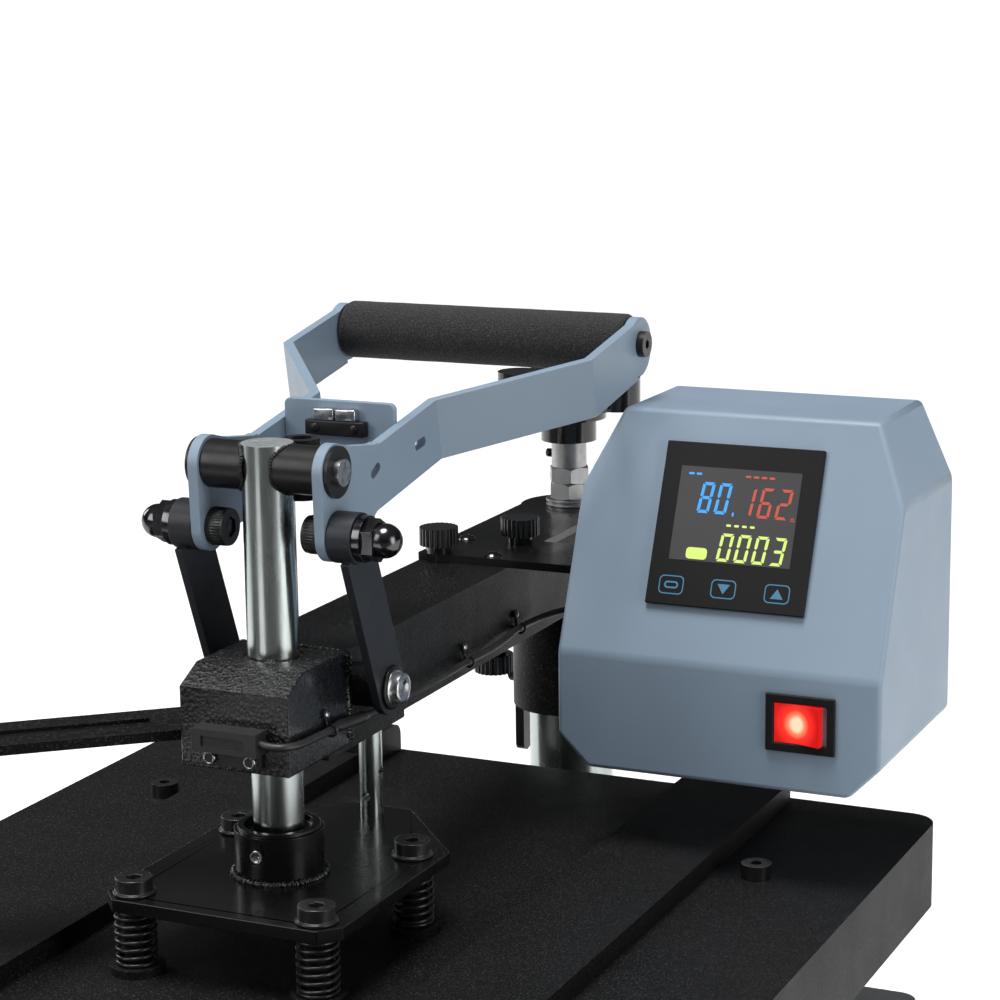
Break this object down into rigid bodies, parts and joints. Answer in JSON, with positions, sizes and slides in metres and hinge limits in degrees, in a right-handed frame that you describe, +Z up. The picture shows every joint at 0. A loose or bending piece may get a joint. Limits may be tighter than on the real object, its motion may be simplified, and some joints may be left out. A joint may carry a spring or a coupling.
{
  "type": "swing-away heat press",
  "caption": "Swing-away heat press: toggle lever with foam grip, sprung heated upper platen over a silicone pad, arm on a round post, side control box with display.",
  "frame": {"origin": "on the floor, at the centre of the whole press's footprint, platen open and arm over the bed", "axes": "+Z up, front of the machine towards -Y, the post and the grip behind the ram towards +Y, control box on +X"},
  "size_m": [0.4458, 0.642, 0.4678],
  "materials": {
    "black_paint": "gloss black paint",
    "hammered_black": "textured black paint",
    "blue_grey_paint": "semi-gloss blue-grey powder coat",
    "cover_paint": "fine-textured black powder coat",
    "bright_steel": "ground and plated steel",
    "dark_steel": "black-oxide steel",
    "chrome_steel": "bright plating",
    "bronze": "sintered bronze",
    "black_plastic": "satin black moulding",
    "gloss_black_plastic": "gloss black moulding",
    "red_plastic": "lit translucent red",
    "foam": "matt black foam",
    "rubber_black": "moulded rubber",
    "cable_black": "cable sheath",
    "spring_black": "blackened spring wire",
    "silicone": "matt grey silicone",
    "bed_paint": "painted aluminium casting",
    "heat_aluminium": "dark non-stick coating",
    "mineral_wool": "soft mineral fibre board"
  },
  "bodies": {
    "base": {"base_side_tubes": "black_paint", "base_cross_tubes": "black_paint", "tube_plugs": "black_plastic", "rubber_feet": "rubber_black", "post_socket": "black_paint", "post": "bright_steel", "bed_pedestal": "black_paint", "lower_platen": "bed_paint", "silicone_pad": "silicone"},
    "carriage": {"thrust_bearing": "bright_steel"},
    "wheel": {"hand_wheel": "gloss_black_plastic", "adjusting_screw": "bright_steel", "screw_nuts": "bright_steel"},
    "arm": {"arm_tube": "black_paint", "ram_block": "hammered_black", "ram_bushes": "bronze", "post_sleeve": "black_paint", "top_plate": "black_paint", "plate_screws": "chrome_steel", "swing_handle": "hammered_black", "closing_sensor": "black_plastic", "sensor_cable": "cable_black", "cable_clips": "dark_steel", "under_arm_knob": "black_plastic", "box_shell": "blue_grey_paint", "box_back": "black_paint", "display_unit": "gloss_black_plastic", "switch_bezel": "black_plastic", "mains_inlet": "black_plastic"},
    "thumbscrew_front": {"thumbscrew_front": "black_plastic"},
    "thumbscrew_rear": {"thumbscrew_rear": "black_plastic"},
    "clamp_lever": {"clamp_lever": "dark_steel"},
    "rocker": {"rocker": "red_plastic"},
    "ram": {"ram": "chrome_steel", "cross_tube": "black_paint", "pivot_pin": "chrome_steel", "ram_collar": "black_paint", "collar_screw": "bright_steel", "spring_plate": "black_paint", "guide_rod": "chrome_steel"},
    "platen": {"platen_cover": "cover_paint", "shoulder_bolts": "dark_steel", "springs": "spring_black", "cover_screws": "dark_steel", "insulation": "mineral_wool", "heat_plate": "heat_aluminium", "terminal_cover": "cover_paint"},
    "lever": {"cheek_right": "blue_grey_paint", "cheek_left": "blue_grey_paint", "cross_plate": "blue_grey_paint", "magnet_holder": "bright_steel", "grip_tube": "dark_steel", "foam_grip": "foam", "grip_screws": "dark_steel", "ear_bolts": "dark_steel", "acorn_nuts": "chrome_steel"},
    "link_right": {"link_right": "black_paint", "link_bolt_right": "chrome_steel"},
    "link_left": {"link_left": "black_paint", "link_bolt_left": "chrome_steel"}
  },
  "joints": [
    {"name": "height_adjust", "type": "slide", "parent": "base", "child": "carriage", "axis": [0, 0, 1], "range_m": [0, 0.012]},
    {"name": "wheel_turn", "type": "hinge", "parent": "carriage", "child": "wheel", "pos_m": [0, 0.28, 0.404], "axis": [0, 0, 1], "range_deg": [0, 1440]},
    {"name": "arm_swing", "type": "hinge", "parent": "carriage", "child": "arm", "pos_m": [0, 0.28, 0.314], "axis": [0, 0, 1], "range_deg": [-90, 90]},
    {"name": "ram_slide", "type": "slide", "parent": "arm", "child": "ram", "axis": [0, 0, -1], "range_m": [0, 0.0548]},
    {"name": "lever_turn", "type": "hinge", "parent": "ram", "child": "lever", "pos_m": [0, -0.04, 0.4276], "axis": [1, 0, 0], "range_deg": [0, 180]},
    {"name": "link_right_turn", "type": "hinge", "parent": "lever", "child": "link_right", "pos_m": [0.038, -0.04, 0.4002], "axis": [1, 0, 0], "range_deg": [-180, 0]},
    {"name": "link_left_turn", "type": "hinge", "parent": "lever", "child": "link_left", "pos_m": [-0.038, -0.04, 0.4002], "axis": [1, 0, 0], "range_deg": [-180, 0]},
    {"name": "platen_float", "type": "slide", "parent": "ram", "child": "platen", "axis": [0, 0, 1], "range_m": [0, 0.0083], "deforming": ["springs"]},
    {"name": "rocker_tilt", "type": "hinge", "parent": "arm", "child": "rocker", "pos_m": [0.1855, 0.1163, 0.2939], "axis": [0, 0, 1], "range_deg": [0, 18]},
    {"name": "clamp_turn", "type": "hinge", "parent": "arm", "child": "clamp_lever", "pos_m": [-0.036, 0.296, 0.25], "axis": [1, 0, 0], "range_deg": [-30, 60]},
    {"name": "thumbscrew_front_turn", "type": "hinge", "parent": "arm", "child": "thumbscrew_front", "pos_m": [-0.014, 0.15, 0.354], "axis": [0, 0, 1], "continuous": true},
    {"name": "thumbscrew_rear_turn", "type": "hinge", "parent": "arm", "child": "thumbscrew_rear", "pos_m": [0.014, 0.185, 0.354], "axis": [0, 0, 1], "continuous": true}
  ],
  "couplings": [
    {"joint": "wheel_turn", "follows": "height_adjust", "rad_per_m": 2094.4},
    {"joint": "lever_turn", "follows": "ram_slide", "rad_per_m": 57.328},
    {"joint": "link_right_turn", "follows": "ram_slide", "rad_per_m": -57.328},
    {"joint": "link_left_turn", "follows": "ram_slide", "rad_per_m": -57.328},
    {"joint": "platen_float", "follows": "ram_slide", "ratio": 0.15146}
  ]
}
